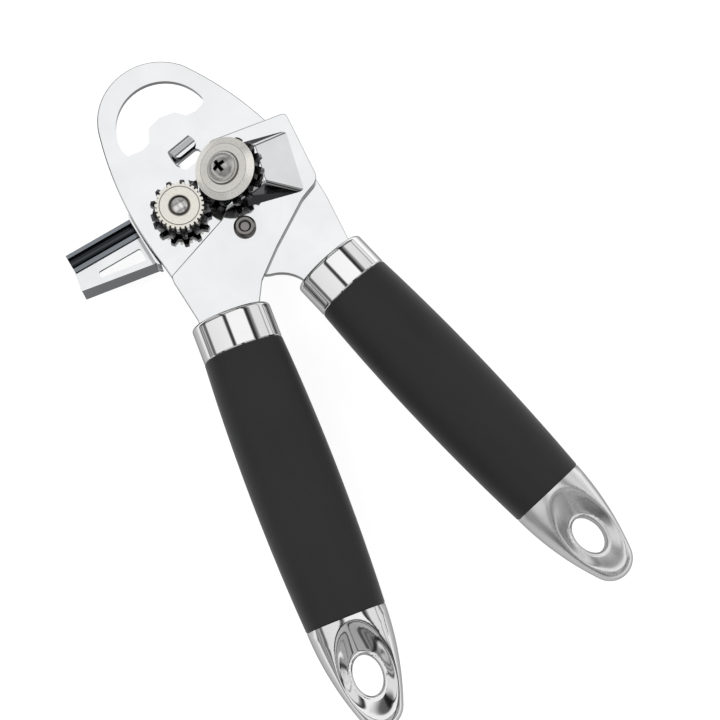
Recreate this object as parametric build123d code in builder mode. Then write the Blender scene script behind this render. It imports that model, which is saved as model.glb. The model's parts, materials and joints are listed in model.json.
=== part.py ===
"""Manual can opener: two pivoted plates with handles, a geared feed wheel with a turn key,
and a tilted cutter disc with its own gear. Lengths are millimetres."""

import os
from math import asin, cos, radians, sin, sqrt, tan

from build123d import *

os.makedirs("parts", exist_ok=True)

# ---------------------------------------------------------------- the frame
# The origin is the centre of the underside of the whole opener. +Y runs to the
# bottle-opener head, +Z to the cutter side. These place the handle pivot on the
# front face of the feed plate.
PIVOT_X = 2.13
PIVOT_Y = 41.545
PIVOT_Z = 20.2

# ---------------------------------------------------------------- driving sizes
SHEET = 2.0                     # both pressed plates
PLATE_GAP = 0.3                 # between the two plates, filled by a thin washer
CUTTER_PLATE_Z = PLATE_GAP      # underside of the cutter plate
CUTTER_PLATE_TOP = PLATE_GAP + SHEET
EDGE_ROUND = 0.35               # rolled edge of the pressed plates
RUNNING_FIT = 0.05              # radial clearance of a shaft in its bore
THRUST_GAP = 0.15               # axial clearance beside a turning part

PIVOT_R = 2.5
RIVET_HEAD_R = 3.35
RIVET_BACK_T = 1.1              # thickness of its head behind the feed plate
RIVET_FRONT_T = 1.6             # height of its head above the cutter plate
PIVOT_WASHER_R = 5.5
PIVOT_WASHER_T = 0.2

# feed side: shaft square to the plates
FEED_X = -13.7
FEED_Y = 14.1
FEED_SHAFT_R = 3.0
BUSH_R = 4.0
BUSH_FLANGE_R = 5.2
FEED_WASHER_R = 5.6
FEED_TEETH = 13
FEED_TIP_R = 8.9
FEED_ROOT_R = 7.1
TOOTH_ROOT = 2.6                # width of a tooth at its root, on both gears
TOOTH_TIP = 1.0                 # and at its tip
FEED_GEAR_Z = 2.6
FEED_GEAR_T = 2.6
FEED_WHEEL_Z = 5.2
FEED_WHEEL_TOP = 8.0
FEED_WHEEL_R = 7.2
SERRATIONS = 29

# cutter side: its axis leans towards the feed wheel
LEAN = 22.5                     # degrees away from the plate normal
LEAN_TOWARDS = 165.0            # heading of the lean, degrees from +X
CUTTER_TEETH = 14
CUTTER_TIP_R = 10.2
CUTTER_ROOT_R = 8.2
CUTTER_PHASE = 6.5              # turns the cutter gear into mesh at rest
CUTTER_GEAR_T = 2.4
DISC_R = 9.4
DISC_T = 1.2
DISC_X = 2.7
DISC_Y = 15.7
DISC_Z = 12.4                   # mid-plane of the disc on its axis
GEAR_DROP = 5.15                # disc mid-plane down to gear mid-plane, along the axis
SEAT_DROP = 7.3                 # disc mid-plane down to the seat on the cutter plate
SEAT_SHEET = 1.8                # wall of the raised seat
SLEEVE_R = 3.0
SCREW_R = 2.0
WASHER_R = 4.4                  # washer under the gear

# handles
HANDLE_ANGLE = 10.75            # each handle from the centre line
RIGHT_OFFSET = 11.8             # handle axis from the pivot, across the handle
LEFT_OFFSET = 13.5
COLLAR_START = 23.6             # distances along the handle, from beside the pivot
GRIP_START = 34.8
GRIP_END = 117.6
CAP_END = 149.8
TANG_HALF_WIDTH = 6.0
TANG_END = 72.0
PLATE_HALF_WIDTH = 9.3          # width of a plate where it enters its collar
CORE_WIDTH = 15.5
CORE_THICKNESS = 10.0
CORE_FIT = 0.05                 # clearance around the core inside grip, collar and cap
CORE_START = 25.4
CORE_END = 121.0
PIN_R = 1.6
PIN_STATIONS = (46.0, 62.0)
HANG_HOLE_STATION = 134.4
HANG_HOLE_LENGTH = 11.6
HANG_HOLE_WIDTH = 8.2
HANG_LIP = 1.2                  # flat lip around the hang hole
HANG_LIP_HEIGHT = 2.2           # above and below the middle of the handle
DISH_STATION = 133.5
DISH_HALF_LENGTH = 17.2         # dish around the hole, at DISH_HEIGHT from the middle
DISH_HALF_WIDTH = 7.8
DISH_HEIGHT = 10.0

# turn key, measured from the feed axis
KEY_SHEET = 1.2
KEY_HUB_Z = -2.95               # front face of the raised middle
KEY_WEB_Z = -10.2               # front face of the wings
KEY_HUB_HALF = 13.9
KEY_HUB_HALF_WIDTH = 9.4
KEY_TIP = 36.8
KEY_TROUGH_R = 3.0
KEY_FLANGE_DEPTH = 10.0
KEY_COLLAR_R = 4.4
KEY_COLLAR_T = 1.6


def level(height):
    """Plane parallel to the plates, its origin on the pivot axis."""
    return Plane((PIVOT_X, PIVOT_Y, PIVOT_Z + height))


def feed_level(height):
    """Plane parallel to the plates, its origin on the feed axis."""
    return Plane((PIVOT_X + FEED_X, PIVOT_Y + FEED_Y, PIVOT_Z + height))


LEAN_AXIS = Vector(
    sin(radians(LEAN)) * cos(radians(LEAN_TOWARDS)),
    sin(radians(LEAN)) * sin(radians(LEAN_TOWARDS)),
    cos(radians(LEAN)),
)
UPHILL = Vector(-cos(radians(LEAN_TOWARDS)), -sin(radians(LEAN_TOWARDS)), 0)
DISC_CENTRE = Vector(PIVOT_X + DISC_X, PIVOT_Y + DISC_Y, PIVOT_Z + DISC_Z)


def cutter_level(drop):
    """Plane square to the cutter axis, below the middle of the disc by drop."""
    acrosswise = LEAN_AXIS.cross(UPHILL)
    return Plane(
        origin=DISC_CENTRE - LEAN_AXIS * drop,
        x_dir=acrosswise.cross(LEAN_AXIS),
        z_dir=LEAN_AXIS,
    )


def disc_profile_plane():
    """Plane holding the cutter axis: local X is the radius, local Y runs up the axis."""
    across = cutter_level(0)
    return Plane(origin=DISC_CENTRE, x_dir=across.x_dir, z_dir=across.x_dir.cross(LEAN_AXIS))


def feed_profile_plane():
    """Plane holding the feed axis: local X is the radius, local Y runs up the axis."""
    return Plane(feed_level(0).origin, x_dir=(1, 0, 0), z_dir=(0, -1, 0))


def on_handle(side, station, across):
    """Plan point given along and across a handle: side is +1 right, -1 left."""
    turn = radians(HANDLE_ANGLE)
    offset = RIGHT_OFFSET if side > 0 else LEFT_OFFSET
    x = side * (offset * cos(turn) + station * sin(turn)) + across * cos(turn)
    y = offset * sin(turn) - station * cos(turn) + side * across * sin(turn)
    return (x, y)


def handle_frame(side):
    """Frame of a handle in the middle of its plate: X down the handle, Z to the front."""
    x, y = on_handle(side, 0, 0)
    turn = radians(HANDLE_ANGLE)
    middle = -SHEET / 2 if side > 0 else CUTTER_PLATE_Z + SHEET / 2
    return Plane(
        origin=(PIVOT_X + x, PIVOT_Y + y, PIVOT_Z + middle),
        x_dir=(side * sin(turn), -cos(turn), 0),
        z_dir=(0, 0, 1),
    )


def handle_section(side, station):
    """Plane square to a handle: local X is across it, local Y is to the front."""
    frame = handle_frame(side)
    return Plane(
        origin=frame.origin + frame.x_dir * station, x_dir=frame.y_dir, z_dir=frame.x_dir
    )


def dome(half_width, base, rise):
    """Arc of a domed head in the open line, from its rim in to the axis."""
    ball_r = (half_width**2 + rise**2) / (2 * rise)
    halfway = asin(half_width / ball_r) / 2
    ThreePointArc(
        (half_width, base),
        (ball_r * sin(halfway), base + rise - ball_r * (1 - cos(halfway))),
        (0, base + rise),
    )


def gear_teeth(teeth, root_r, tip_r, root_width, tip_width, phase=0.0):
    """Straight-sided teeth on a round blank, drawn in the open sketch."""
    Circle(root_r)
    with PolarLocations(0, teeth, start_angle=phase):
        Polygon(
            (root_r - 0.5, -root_width / 2),
            (tip_r + 0.5, -tip_width / 2),
            (tip_r + 0.5, tip_width / 2),
            (root_r - 0.5, root_width / 2),
            align=None,
        )
    Circle(tip_r, mode=Mode.INTERSECT)


# ---------------------------------------------------------------- feed plate
HEAD_X = -4.0
HEAD_Y = 43.0
HEAD_R = 19.0
MOUTH_X = -4.0
MOUTH_Y = 40.4
MOUTH_R = 14.7
MOUTH_END_ROUND = 1.9
TONGUE_ROUND = 0.9
GUIDE_START = -1.6
GUIDE_WIDTH = 7.8
GUIDE_ANGLE = 10.0              # the can guide stands across the plate at this angle
GUIDE_FOOT = 33.5               # where it leaves the plate, and its free edge
GUIDE_LIP = 28.6
GUIDE_CORNER = 1.6
WINDOW_MIDDLE = 27.4            # the hole that the guide was lanced from, up the plate
WINDOW_HEIGHT = 3.4
WINDOW_ROUND = 1.2
NIB = (-5.1, 21.7)              # small nib beside the feed gear
NIB_SIZE = (3.2, 2.6)
NIB_ROUND = 0.9
NIB_HEIGHT = 3.2


def head_point(angle):
    return (HEAD_X + HEAD_R * cos(radians(angle)), HEAD_Y + HEAD_R * sin(radians(angle)))


HEAD_RIGHT = head_point(38)
HEAD_LEFT = head_point(165)
LEFT_HIP = (-26.4, 4.0)
LOWER_CORNER = (-26.1, -2.6)
CROTCH = (-1.0, -15.8)
CROTCH_ARCH = (3.7, -18.2)      # on the hollow edge from there to the collar
RIGHT_HIP = (26.3, -4.0)

with BuildPart() as feed_plate:
    with BuildSketch(level(-SHEET)) as feed_outline:
        with BuildLine():
            ThreePointArc(HEAD_RIGHT, head_point(95), HEAD_LEFT)
            ThreePointArc(HEAD_LEFT, (-26.2, 30), LEFT_HIP)
            Polyline(
                LEFT_HIP,
                LOWER_CORNER,
                CROTCH,
            )
            ThreePointArc(CROTCH, CROTCH_ARCH, on_handle(1, COLLAR_START - 0.2, -PLATE_HALF_WIDTH))
            Polyline(
                on_handle(1, COLLAR_START - 0.2, -PLATE_HALF_WIDTH),
                on_handle(1, CORE_START - 0.4, -PLATE_HALF_WIDTH),
                on_handle(1, CORE_START - 0.4, -TANG_HALF_WIDTH),
                on_handle(1, TANG_END, -TANG_HALF_WIDTH),
                on_handle(1, TANG_END, TANG_HALF_WIDTH),
                on_handle(1, CORE_START - 0.4, TANG_HALF_WIDTH),
                on_handle(1, CORE_START - 0.4, PLATE_HALF_WIDTH),
                on_handle(1, COLLAR_START - 1.5, PLATE_HALF_WIDTH),
                RIGHT_HIP,
            )
            ThreePointArc(RIGHT_HIP, (22.5, 28.8), HEAD_RIGHT)
        make_face()
        for corner, rounding in (
            (HEAD_RIGHT, 10.0),
            (HEAD_LEFT, 10.0),
            (LEFT_HIP, 12.0),
            (LOWER_CORNER, 3.0),
            (CROTCH, 7.0),
            (RIGHT_HIP, 10.0),
        ):
            fillet(feed_outline.vertices().sort_by_distance(corner)[0], rounding)
    extrude(amount=SHEET)
    rim = feed_plate.faces().sort_by(Axis.Z)[-1].outer_wire().edges()
    fillet(rim.filter_by_position(Axis.Y, PIVOT_Y - 22, PIVOT_Y + 70), EDGE_ROUND)
    # bottle-opener mouth with its tongue
    with BuildSketch(level(-SHEET)):
        with BuildLine():
            arch = ThreePointArc(
                (MOUTH_X - MOUTH_R, MOUTH_Y),
                (MOUTH_X, MOUTH_Y + MOUTH_R),
                (MOUTH_X + MOUTH_R, MOUTH_Y + 1),
            )
            Polyline(
                arch @ 1,
                (6.6, 39.9),
                (3.4, 40.2),
                (0.8, 43.0),
                (-3.8, 43.7),
                (-8.4, 42.5),
                (-10.6, 38.3),
                (-13.4, 37.4),
                (-18.2, 38.0),
                arch @ 0,
            )
        mouth_face = make_face()
        right_end = mouth_face.vertices().sort_by_distance(arch @ 1)[0]
        fillet(right_end, MOUTH_END_ROUND)
        fillet(mouth_face.vertices().sort_by_distance((MOUTH_X, MOUTH_Y - 2))[:8], TONGUE_ROUND)
    extrude(amount=SHEET, mode=Mode.SUBTRACT)
    # window left where the can guide is lanced out, and the guide standing beside it
    with BuildSketch(level(-SHEET).rotated((0, 0, GUIDE_ANGLE))):
        with Locations((GUIDE_START + GUIDE_WIDTH / 2, WINDOW_MIDDLE)):
            RectangleRounded(GUIDE_WIDTH, WINDOW_HEIGHT, WINDOW_ROUND)
    extrude(amount=SHEET, mode=Mode.SUBTRACT)
    guide_side = Plane(
        level(-0.6).rotated((0, 0, GUIDE_ANGLE)).location.position
        + Vector(cos(radians(GUIDE_ANGLE)), sin(radians(GUIDE_ANGLE)), 0) * GUIDE_START,
        x_dir=(-sin(radians(GUIDE_ANGLE)), cos(radians(GUIDE_ANGLE)), 0),
        z_dir=(cos(radians(GUIDE_ANGLE)), sin(radians(GUIDE_ANGLE)), 0),
    )
    with BuildPart() as guide_hood:
        with BuildSketch(guide_side):
            with BuildLine():
                back = ThreePointArc((GUIDE_FOOT, 0), (GUIDE_FOOT - 1.0, 3.5), (GUIDE_LIP, 4.9))
                under = ThreePointArc(
                    (GUIDE_LIP - 0.3, 3.7), (GUIDE_FOOT - 2.5, 2.4), (GUIDE_FOOT - 1.6, 0)
                )
                Line(back @ 1, under @ 0)
                Line(under @ 1, back @ 0)
            make_face()
        extrude(amount=GUIDE_WIDTH)
        lip_middle = guide_side.from_local_coords((GUIDE_LIP, 4.3, GUIDE_WIDTH / 2))
        lip = guide_hood.faces().sort_by_distance(lip_middle)[0]
        fillet(lip.edges().sort_by(SortBy.LENGTH)[:2], GUIDE_CORNER)
    with BuildSketch(level(-0.4)):
        with Locations(Location(NIB, 50.0)):
            RectangleRounded(*NIB_SIZE, NIB_ROUND)
    extrude(amount=NIB_HEIGHT)
    # bores for the pivot rivet and the feed bush
    with BuildSketch(level(-SHEET)):
        Circle(PIVOT_R)
        with Locations((FEED_X, FEED_Y)):
            Circle(BUSH_R)
        with Locations(*[on_handle(1, station, 0) for station in PIN_STATIONS]):
            Circle(PIN_R)
    extrude(amount=SHEET, mode=Mode.SUBTRACT)
feed_plate.part.label = "feed_plate"
export_step(feed_plate.part, "parts/feed_plate.step")

# ---------------------------------------------------------------- cutter plate
SEAT_SLOPE = tan(radians(LEAN))
SEAT_X = DISC_X - SEAT_DROP * LEAN_AXIS.X
SEAT_Y = DISC_Y - SEAT_DROP * LEAN_AXIS.Y
SEAT_Z = DISC_Z - SEAT_DROP * LEAN_AXIS.Z
RIDGE_RUN = 7.9                 # from the cutter axis uphill to the ridge
CREASE_RUN = 18.8               # and on to the foot of the ramp
BOSS_FOOT_HALF = 9.9            # half width of the raised seat at its foot
BOSS_RIDGE_HALF = 6.0           # and along its ridge
SEAT_ROUND = 1.8                # its pressed edges
SEAT_FOOT_BAND = 3.0            # edges below this height over the foot stay sharp
SEAT_WALL = 1.4                 # side wall of the hollow under the seat
SEAT_OVERCUT = 0.5              # the hollow is cut this far below the plate


CUTTER_CORNERS = (
    (-26.2, -1.6, 1.0),
    (-4.6, 5.7, 3.0),
    (-0.6, 8.4, 2.0),
    (4.0, 28.9, 2.2),
    (29.2, 24.8, 1.6),
    (26.6, 1.6, 4.0),
    (19.5, -1.0, 6.0),
    (5.4, -9.7, 10.0),
    (-4.1, -16.5, 4.0),
)                               # x, y and rounding of each corner, clear of the handle

with BuildSketch() as cutter_outline:
    with BuildLine():
        Polyline(
            *[(x, y) for x, y, rounding in CUTTER_CORNERS],
            on_handle(-1, COLLAR_START - 0.2, PLATE_HALF_WIDTH),
            on_handle(-1, CORE_START - 0.4, PLATE_HALF_WIDTH),
            on_handle(-1, CORE_START - 0.4, TANG_HALF_WIDTH),
            on_handle(-1, TANG_END, TANG_HALF_WIDTH),
            on_handle(-1, TANG_END, -TANG_HALF_WIDTH),
            on_handle(-1, CORE_START - 0.4, -TANG_HALF_WIDTH),
            on_handle(-1, CORE_START - 0.4, -PLATE_HALF_WIDTH),
            on_handle(-1, COLLAR_START - 2.0, -PLATE_HALF_WIDTH),
            (-26.6, -3.4),
            close=True,
        )
    make_face()
    for x, y, rounding in CUTTER_CORNERS:
        fillet(cutter_outline.vertices().sort_by_distance((x, y))[0], rounding)


def raised_seat(lowered, narrowed, floor, rounding=0):
    """Hip-roofed boss that carries the cutter, as the overlap of two prisms."""
    ridge_z = SEAT_Z + RIDGE_RUN * SEAT_SLOPE - lowered
    ramp_slope = (ridge_z + lowered - CUTTER_PLATE_TOP) / (CREASE_RUN - RIDGE_RUN)
    foot = PIVOT_Z
    seat_point = Vector(PIVOT_X + SEAT_X, PIVOT_Y + SEAT_Y, foot)
    along = Plane(seat_point, x_dir=UPHILL, z_dir=UPHILL.cross(Vector(0, 0, 1)))
    with BuildPart() as boss:
        with BuildSketch(along):
            with BuildLine():
                Polyline(
                    (RIDGE_RUN - (ridge_z - floor) / SEAT_SLOPE, floor),
                    (RIDGE_RUN, ridge_z),
                    (RIDGE_RUN + (ridge_z - floor) / ramp_slope, floor),
                    close=True,
                )
            make_face()
        extrude(amount=BOSS_FOOT_HALF * 2, both=True)
        across = Plane(seat_point - UPHILL * 30, x_dir=Vector(0, 0, 1).cross(UPHILL), z_dir=UPHILL)
        wall_lean = (BOSS_FOOT_HALF - BOSS_RIDGE_HALF) / (ridge_z + lowered - CUTTER_PLATE_TOP)
        foot_half = BOSS_FOOT_HALF - narrowed + wall_lean * (CUTTER_PLATE_TOP - floor)
        top_half = foot_half - wall_lean * (ridge_z + 1 - floor)
        with BuildSketch(across):
            with BuildLine():
                Polyline(
                    (-foot_half, floor),
                    (foot_half, floor),
                    (top_half, ridge_z + 1),
                    (-top_half, ridge_z + 1),
                    close=True,
                )
            make_face()
        extrude(amount=60, mode=Mode.INTERSECT)
        if rounding:
            ridges = [edge for edge in boss.edges() if edge.bounding_box().max.Z > foot + floor + SEAT_FOOT_BAND]
            fillet(ridges, rounding)
        with BuildSketch(level(floor)):
            add(cutter_outline.sketch)
        extrude(amount=20, mode=Mode.INTERSECT)
    return boss.part


seat_outside = raised_seat(0, 0, CUTTER_PLATE_Z, SEAT_ROUND)
seat_inside = raised_seat(SEAT_SHEET / cos(radians(LEAN)), SEAT_WALL, CUTTER_PLATE_Z - SEAT_OVERCUT)

with BuildPart() as cutter_plate:
    with BuildSketch(level(CUTTER_PLATE_Z)):
        add(cutter_outline.sketch)
    extrude(amount=SHEET)
    rim = cutter_plate.faces().sort_by(Axis.Z)[-1].outer_wire().edges()
    fillet(rim.filter_by_position(Axis.Y, PIVOT_Y - 22, PIVOT_Y + 70), EDGE_ROUND)
    add(seat_outside)
    add(seat_inside, mode=Mode.SUBTRACT)
    with BuildSketch(cutter_level(SEAT_DROP - 2)):
        Circle(SCREW_R)
    extrude(amount=-6, mode=Mode.SUBTRACT)
    with BuildSketch(level(CUTTER_PLATE_Z)):
        Circle(PIVOT_R + RUNNING_FIT)
        with Locations(*[on_handle(-1, station, 0) for station in PIN_STATIONS]):
            Circle(PIN_R)
    extrude(amount=SHEET, mode=Mode.SUBTRACT)
cutter_plate.part.label = "cutter_plate"
export_step(cutter_plate.part, "parts/cutter_plate.step")

# ---------------------------------------------------------------- handle pivot
with BuildPart() as pivot_rivet:
    with BuildSketch(Plane(level(0).origin, x_dir=(1, 0, 0), z_dir=(0, -1, 0))):
        with BuildLine():
            Polyline(
                (0, -SHEET - RIVET_BACK_T),
                (RIVET_HEAD_R - 0.5, -SHEET - RIVET_BACK_T),
                (RIVET_HEAD_R, -SHEET - RIVET_BACK_T + 0.5),
                (RIVET_HEAD_R, -SHEET),
                (PIVOT_R, -SHEET),
                (PIVOT_R, CUTTER_PLATE_TOP + THRUST_GAP),
                (RIVET_HEAD_R, CUTTER_PLATE_TOP + THRUST_GAP),
                (RIVET_HEAD_R, CUTTER_PLATE_TOP + 0.9),
                (RIVET_HEAD_R - 0.7, CUTTER_PLATE_TOP + RIVET_FRONT_T),
                (1.9, CUTTER_PLATE_TOP + RIVET_FRONT_T),
                (1.3, CUTTER_PLATE_TOP + 0.9),
                (0, CUTTER_PLATE_TOP + 0.9),
                close=True,
            )
        make_face()
    revolve(axis=Axis(level(0).origin, (0, 0, 1)))
pivot_rivet.part.label = "pivot_rivet"
export_step(pivot_rivet.part, "parts/pivot_rivet.step")

with BuildPart() as pivot_washer:
    with BuildSketch(level(0)):
        Circle(PIVOT_WASHER_R)
        Circle(PIVOT_R, mode=Mode.SUBTRACT)
    extrude(amount=PIVOT_WASHER_T)
pivot_washer.part.label = "pivot_washer"
export_step(pivot_washer.part, "parts/pivot_washer.step")

# ---------------------------------------------------------------- feed spindle
with BuildPart() as feed_bush:
    with BuildSketch(level(-SHEET)):
        with Locations((FEED_X, FEED_Y)):
            Circle(BUSH_R)
    extrude(amount=SHEET)
    with BuildSketch(feed_level(0)):
        Circle(BUSH_FLANGE_R)
    extrude(amount=FEED_GEAR_Z - THRUST_GAP)
    with BuildSketch(feed_level(-SHEET)):
        Circle(FEED_SHAFT_R + RUNNING_FIT)
    extrude(amount=SHEET + FEED_GEAR_Z, mode=Mode.SUBTRACT)
feed_bush.part.label = "feed_bush"
export_step(feed_bush.part, "parts/feed_bush.step")

GEAR_BORE = 2.4
KEY_SQUARE = 4.0                # square neck of the shaft, through the key and its collar
PEEN = 0.2                      # shaft left standing beyond the collar
with BuildPart() as feed_shaft:
    with BuildSketch(feed_profile_plane()):
        with BuildLine():
            Polyline(
                (0, KEY_HUB_Z),
                (FEED_SHAFT_R, KEY_HUB_Z),
                (FEED_SHAFT_R, FEED_GEAR_Z),
                (GEAR_BORE, FEED_GEAR_Z),
                (GEAR_BORE, FEED_WHEEL_TOP + 0.1),
            )
            dome(GEAR_BORE, FEED_WHEEL_TOP + 0.1, 0.85)
            Line((0, FEED_WHEEL_TOP + 0.95), (0, KEY_HUB_Z))
        make_face()
    revolve(axis=Axis(feed_level(0).origin, (0, 0, 1)))
    with BuildSketch(feed_level(KEY_HUB_Z + 1)):
        Rectangle(KEY_SQUARE, KEY_SQUARE)
    extrude(amount=-(1 + KEY_SHEET + KEY_COLLAR_T + PEEN))
feed_shaft.part.label = "feed_shaft"
export_step(feed_shaft.part, "parts/feed_shaft.step")

with BuildPart() as feed_gear:
    with BuildSketch(feed_level(FEED_GEAR_Z)):
        gear_teeth(FEED_TEETH, FEED_ROOT_R, FEED_TIP_R, TOOTH_ROOT, TOOTH_TIP)
        Circle(GEAR_BORE, mode=Mode.SUBTRACT)
    extrude(amount=FEED_GEAR_T)
feed_gear.part.label = "feed_gear"
export_step(feed_gear.part, "parts/feed_gear.step")

with BuildPart() as feed_wheel:
    with BuildSketch(feed_level(FEED_WHEEL_Z)):
        gear_teeth(SERRATIONS, FEED_WHEEL_R - 0.65, FEED_WHEEL_R, 1.3, 0.5)
    extrude(amount=FEED_WHEEL_TOP - FEED_WHEEL_Z)
    with BuildSketch(feed_level(FEED_WHEEL_TOP)):
        Circle(6.0)
        Circle(5.8, mode=Mode.SUBTRACT)
    extrude(amount=-0.15, mode=Mode.SUBTRACT)
    with BuildSketch(feed_level(FEED_WHEEL_TOP)):
        Circle(3.0)
    extrude(amount=-0.6, mode=Mode.SUBTRACT)
    with BuildSketch(feed_level(FEED_WHEEL_Z)):
        Circle(GEAR_BORE)
    extrude(amount=FEED_WHEEL_TOP, mode=Mode.SUBTRACT)
feed_wheel.part.label = "feed_wheel"
export_step(feed_wheel.part, "parts/feed_wheel.step")

with BuildPart() as feed_washer:
    with BuildSketch(feed_level(KEY_HUB_Z)):
        Circle(FEED_WASHER_R)
        Circle(FEED_SHAFT_R, mode=Mode.SUBTRACT)
    extrude(amount=-SHEET - THRUST_GAP - KEY_HUB_Z)
feed_washer.part.label = "feed_washer"
export_step(feed_washer.part, "parts/feed_washer.step")

# ---------------------------------------------------------------- turn key
TROUGH_V = -6.6                 # middle of the half-round trough, across the wing
WEB_TOP_V = TROUGH_V + KEY_TROUGH_R - KEY_SHEET
WEB_TIP_V = 2.2                 # flanged edge of the web at the tip
WEB_ROOT_V = 6.2                # and beside the hub
FLANGE_SLOPE = (WEB_TIP_V - WEB_ROOT_V) / (KEY_TIP - KEY_HUB_HALF)
SLOT_CORNERS = ((15.2, -0.4), (29.6, -0.4), (29.8, 1.6), (15.2, 3.9))

with BuildPart() as turn_key:
    # raised middle, riveted on the shaft
    with BuildSketch(feed_level(KEY_HUB_Z)):
        RectangleRounded(2 * KEY_HUB_HALF, 2 * KEY_HUB_HALF_WIDTH, 1.5)
    extrude(amount=KEY_WEB_Z - KEY_SHEET - KEY_HUB_Z)
    with BuildSketch(feed_level(KEY_HUB_Z - KEY_SHEET)):
        RectangleRounded(2 * (KEY_HUB_HALF - KEY_SHEET), 2 * (KEY_HUB_HALF_WIDTH - KEY_SHEET), 0.6)
    extrude(amount=-30, mode=Mode.SUBTRACT)
    with BuildSketch(feed_level(KEY_HUB_Z - KEY_SHEET)):
        Rectangle(2 * (KEY_HUB_HALF - KEY_SHEET), 3 * KEY_HUB_HALF_WIDTH)
    extrude(amount=-30, mode=Mode.SUBTRACT)
    for turned in (180, 0):
        wing = feed_level(0).rotated((0, 0, turned))
        wing_u = wing.x_dir
        # web
        with BuildSketch(wing.offset(KEY_WEB_Z)):
            with BuildLine():
                Polyline(
                    (KEY_HUB_HALF - KEY_SHEET, WEB_TOP_V),
                    (KEY_TIP - 1.0, WEB_TOP_V),
                    (KEY_TIP, WEB_TIP_V),
                    (KEY_HUB_HALF - KEY_SHEET, WEB_ROOT_V - FLANGE_SLOPE * KEY_SHEET),
                    close=True,
                )
            make_face()
        extrude(amount=-KEY_SHEET)
        # thumb flange bent straight back along the lower edge
        with BuildSketch(wing.offset(KEY_WEB_Z)):
            with BuildLine():
                Polyline(
                    (KEY_HUB_HALF - KEY_SHEET, WEB_ROOT_V),
                    (KEY_TIP, WEB_TIP_V),
                    (KEY_TIP, WEB_TIP_V - KEY_SHEET),
                    (KEY_HUB_HALF - KEY_SHEET, WEB_ROOT_V - KEY_SHEET),
                    close=True,
                )
            make_face()
        extrude(amount=-KEY_FLANGE_DEPTH)
        # half-round trough along the upper edge
        trough_end = Plane(
            wing.origin + wing_u * (KEY_HUB_HALF - KEY_SHEET), x_dir=wing.y_dir, z_dir=wing_u
        )
        trough_z = KEY_WEB_Z + 1.0
        with BuildSketch(trough_end):
            with Locations((TROUGH_V, trough_z)):
                Circle(KEY_TROUGH_R)
                Circle(KEY_TROUGH_R - KEY_SHEET, mode=Mode.SUBTRACT)
            with Locations((TROUGH_V, trough_z + KEY_TROUGH_R)):
                Rectangle(3 * KEY_TROUGH_R, 2 * KEY_TROUGH_R, mode=Mode.SUBTRACT)
        extrude(amount=KEY_TIP - 1.2 - KEY_HUB_HALF + KEY_SHEET)
        # slot through the web
        with BuildSketch(wing.offset(KEY_WEB_Z)):
            with BuildLine():
                Polyline(*SLOT_CORNERS, close=True)
            slot_face = make_face()
            fillet(slot_face.vertices(), 0.7)
        extrude(amount=-KEY_SHEET, mode=Mode.SUBTRACT)
    with BuildSketch(feed_level(KEY_HUB_Z)):
        Rectangle(KEY_SQUARE, KEY_SQUARE)
    extrude(amount=-KEY_SHEET, mode=Mode.SUBTRACT)
turn_key.part.label = "turn_key"
export_step(turn_key.part, "parts/turn_key.step")

with BuildPart() as key_collar:
    with BuildSketch(feed_level(KEY_HUB_Z - KEY_SHEET)):
        Circle(KEY_COLLAR_R)
    extrude(amount=-KEY_COLLAR_T)
    chamfer(key_collar.faces().sort_by(Axis.Z)[0].edges(), 0.6)
    with BuildSketch(feed_level(KEY_HUB_Z - KEY_SHEET)):
        Rectangle(KEY_SQUARE, KEY_SQUARE)
    extrude(amount=-KEY_COLLAR_T, mode=Mode.SUBTRACT)
key_collar.part.label = "key_collar"
export_step(key_collar.part, "parts/key_collar.step")

# ---------------------------------------------------------------- cutter spindle
WASHER_T = SEAT_DROP - GEAR_DROP - CUTTER_GEAR_T / 2 - THRUST_GAP
BOSS_TOP = 1.3                  # disc boss above the mid-plane of the disc
SCREW_SEAT = BOSS_TOP + THRUST_GAP
NUT_T = 1.5
NUT_R = 3.1

with BuildPart() as cutter_disc:
    with BuildSketch(disc_profile_plane()):
        with BuildLine():
            Polyline(
                (SLEEVE_R + RUNNING_FIT, -DISC_T / 2),
                (DISC_R, -DISC_T / 2),
                (DISC_R, -DISC_T / 2 + 0.15),
                (DISC_R - 2.1, DISC_T / 2),
                (4.9, DISC_T / 2),
                (4.7, BOSS_TOP),
                (SLEEVE_R + RUNNING_FIT, BOSS_TOP),
                close=True,
            )
        make_face()
    revolve(axis=Axis(DISC_CENTRE, LEAN_AXIS))
cutter_disc.part.label = "cutter_disc"
export_step(cutter_disc.part, "parts/cutter_disc.step")

with BuildPart() as cutter_spacer:
    with BuildSketch(cutter_level(DISC_T / 2)):
        Circle(4.6)
        Circle(SLEEVE_R + RUNNING_FIT, mode=Mode.SUBTRACT)
    extrude(amount=-(GEAR_DROP - CUTTER_GEAR_T / 2 - DISC_T / 2))
cutter_spacer.part.label = "cutter_spacer"
export_step(cutter_spacer.part, "parts/cutter_spacer.step")

with BuildPart() as cutter_gear:
    with BuildSketch(cutter_level(GEAR_DROP + CUTTER_GEAR_T / 2)):
        gear_teeth(CUTTER_TEETH, CUTTER_ROOT_R, CUTTER_TIP_R, TOOTH_ROOT, TOOTH_TIP, CUTTER_PHASE)
        Circle(SLEEVE_R + RUNNING_FIT, mode=Mode.SUBTRACT)
    extrude(amount=CUTTER_GEAR_T)
cutter_gear.part.label = "cutter_gear"
export_step(cutter_gear.part, "parts/cutter_gear.step")

with BuildPart() as cutter_washer:
    with BuildSketch(cutter_level(SEAT_DROP)):
        Circle(WASHER_R)
        Circle(SLEEVE_R, mode=Mode.SUBTRACT)
    extrude(amount=WASHER_T)
cutter_washer.part.label = "cutter_washer"
export_step(cutter_washer.part, "parts/cutter_washer.step")

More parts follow.
